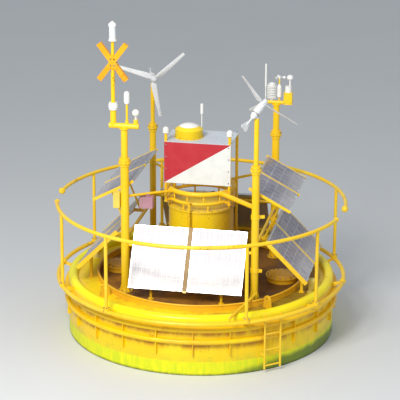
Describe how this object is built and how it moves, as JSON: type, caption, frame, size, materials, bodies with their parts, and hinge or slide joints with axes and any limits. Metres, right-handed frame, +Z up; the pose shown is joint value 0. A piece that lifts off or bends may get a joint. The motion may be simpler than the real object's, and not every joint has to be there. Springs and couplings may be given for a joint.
{
  "type": "navigation buoy",
  "caption": "Discus navigation buoy with guard rail, solar panels, small wind turbines, X topmark and lantern on masts.",
  "frame": {"origin": "centre of the hull in the plane of the waterline", "axes": "+X to the right, +Y to the back, +Z up; the front is the side of the two steep solar modules that face the camera"},
  "size_m": [4.4, 4.3636, 6.81],
  "materials": {
    "hull_yellow": "marine enamel, weathered",
    "boot_green": "antifouling paint with algae",
    "frame_yellow": "marine enamel",
    "deck_orange": "worn deck paint",
    "instrument_white": "glossy",
    "module_frame": "anodised",
    "laminate": "glass-faced",
    "sign_red": "red and white halves",
    "plate_grey": "satin",
    "topmark_orange": "satin",
    "keel_grey": "coated"
  },
  "bodies": {
    "buoy": {"hull_bottom": "boot_green", "hull_topsides": "hull_yellow", "deck_rim": "hull_yellow", "rub_rails": "hull_yellow", "foot_ring": "frame_yellow", "rail_front": "frame_yellow", "rail_rear": "frame_yellow", "boarding_ladder": "frame_yellow", "deck_tube": "frame_yellow", "deck_kerb": "deck_orange", "deck_hatches": "deck_orange", "lifting_eyes": "frame_yellow", "bollards": "frame_yellow", "equipment_house": "frame_yellow", "tower_posts": "frame_yellow", "cable_pipe": "frame_yellow", "ring_platform": "frame_yellow", "tower_braces": "frame_yellow", "brace_box": "plate_grey", "sign_panel": "sign_red", "top_plate": "plate_grey", "top_unit": "frame_yellow", "white_domes": "instrument_white", "tower_antenna": "instrument_white", "mast_left_front": "frame_yellow", "mast_right_front": "frame_yellow", "mast_left_rear": "frame_yellow", "mast_right_rear": "frame_yellow", "mast_beams": "frame_yellow", "junction_box": "frame_yellow", "cross_arm": "topmark_orange", "topmark": "topmark_orange", "lantern": "instrument_white", "arm_sensors": "instrument_white", "panels_front": "module_frame", "panels_rear": "module_frame", "panels_left_lower": "module_frame", "panels_right_lower": "module_frame", "panels_left_upper": "module_frame", "panels_right_upper": "module_frame", "solar_laminates": "laminate", "end_panel_brackets": "frame_yellow", "side_panel_brackets": "frame_yellow", "side_edge_bars": "frame_yellow", "keel_column": "keel_grey", "counterweight": "keel_grey", "mooring_eye": "keel_grey", "weather_head": "topmark_orange", "weather_sensors": "instrument_white"},
    "turbine_head_left": {"turbine_head_left": "instrument_white"},
    "turbine_rotor_left": {"turbine_rotor_left": "instrument_white"},
    "turbine_head_right": {"turbine_head_right": "instrument_white"},
    "turbine_rotor_right": {"turbine_rotor_right": "instrument_white"},
    "cup_rotor": {"cup_rotor": "instrument_white"}
  },
  "joints": [
    {"name": "left_turbine_yaw", "type": "hinge", "parent": "buoy", "child": "turbine_head_left", "pos_m": [-0.96, 1, 3.58], "axis": [0, 0, 1], "continuous": true},
    {"name": "left_turbine_spin", "type": "hinge", "parent": "turbine_head_left", "child": "turbine_rotor_left", "pos_m": [-0.9087, 0.85905, 3.58], "axis": [0.342, -0.9397, 0], "continuous": true},
    {"name": "right_turbine_yaw", "type": "hinge", "parent": "buoy", "child": "turbine_head_right", "pos_m": [0.96, -0.905, 3.635], "axis": [0, 0, 1], "continuous": true},
    {"name": "right_turbine_spin", "type": "hinge", "parent": "turbine_head_right", "child": "turbine_rotor_right", "pos_m": [1.03386, -0.81698, 3.73142], "axis": [0.4924, 0.5868, 0.6428], "continuous": true},
    {"name": "cup_rotor_spin", "type": "hinge", "parent": "buoy", "child": "cup_rotor", "pos_m": [1, 1, 3.6723], "axis": [0, 0, 1], "continuous": true}
  ]
}
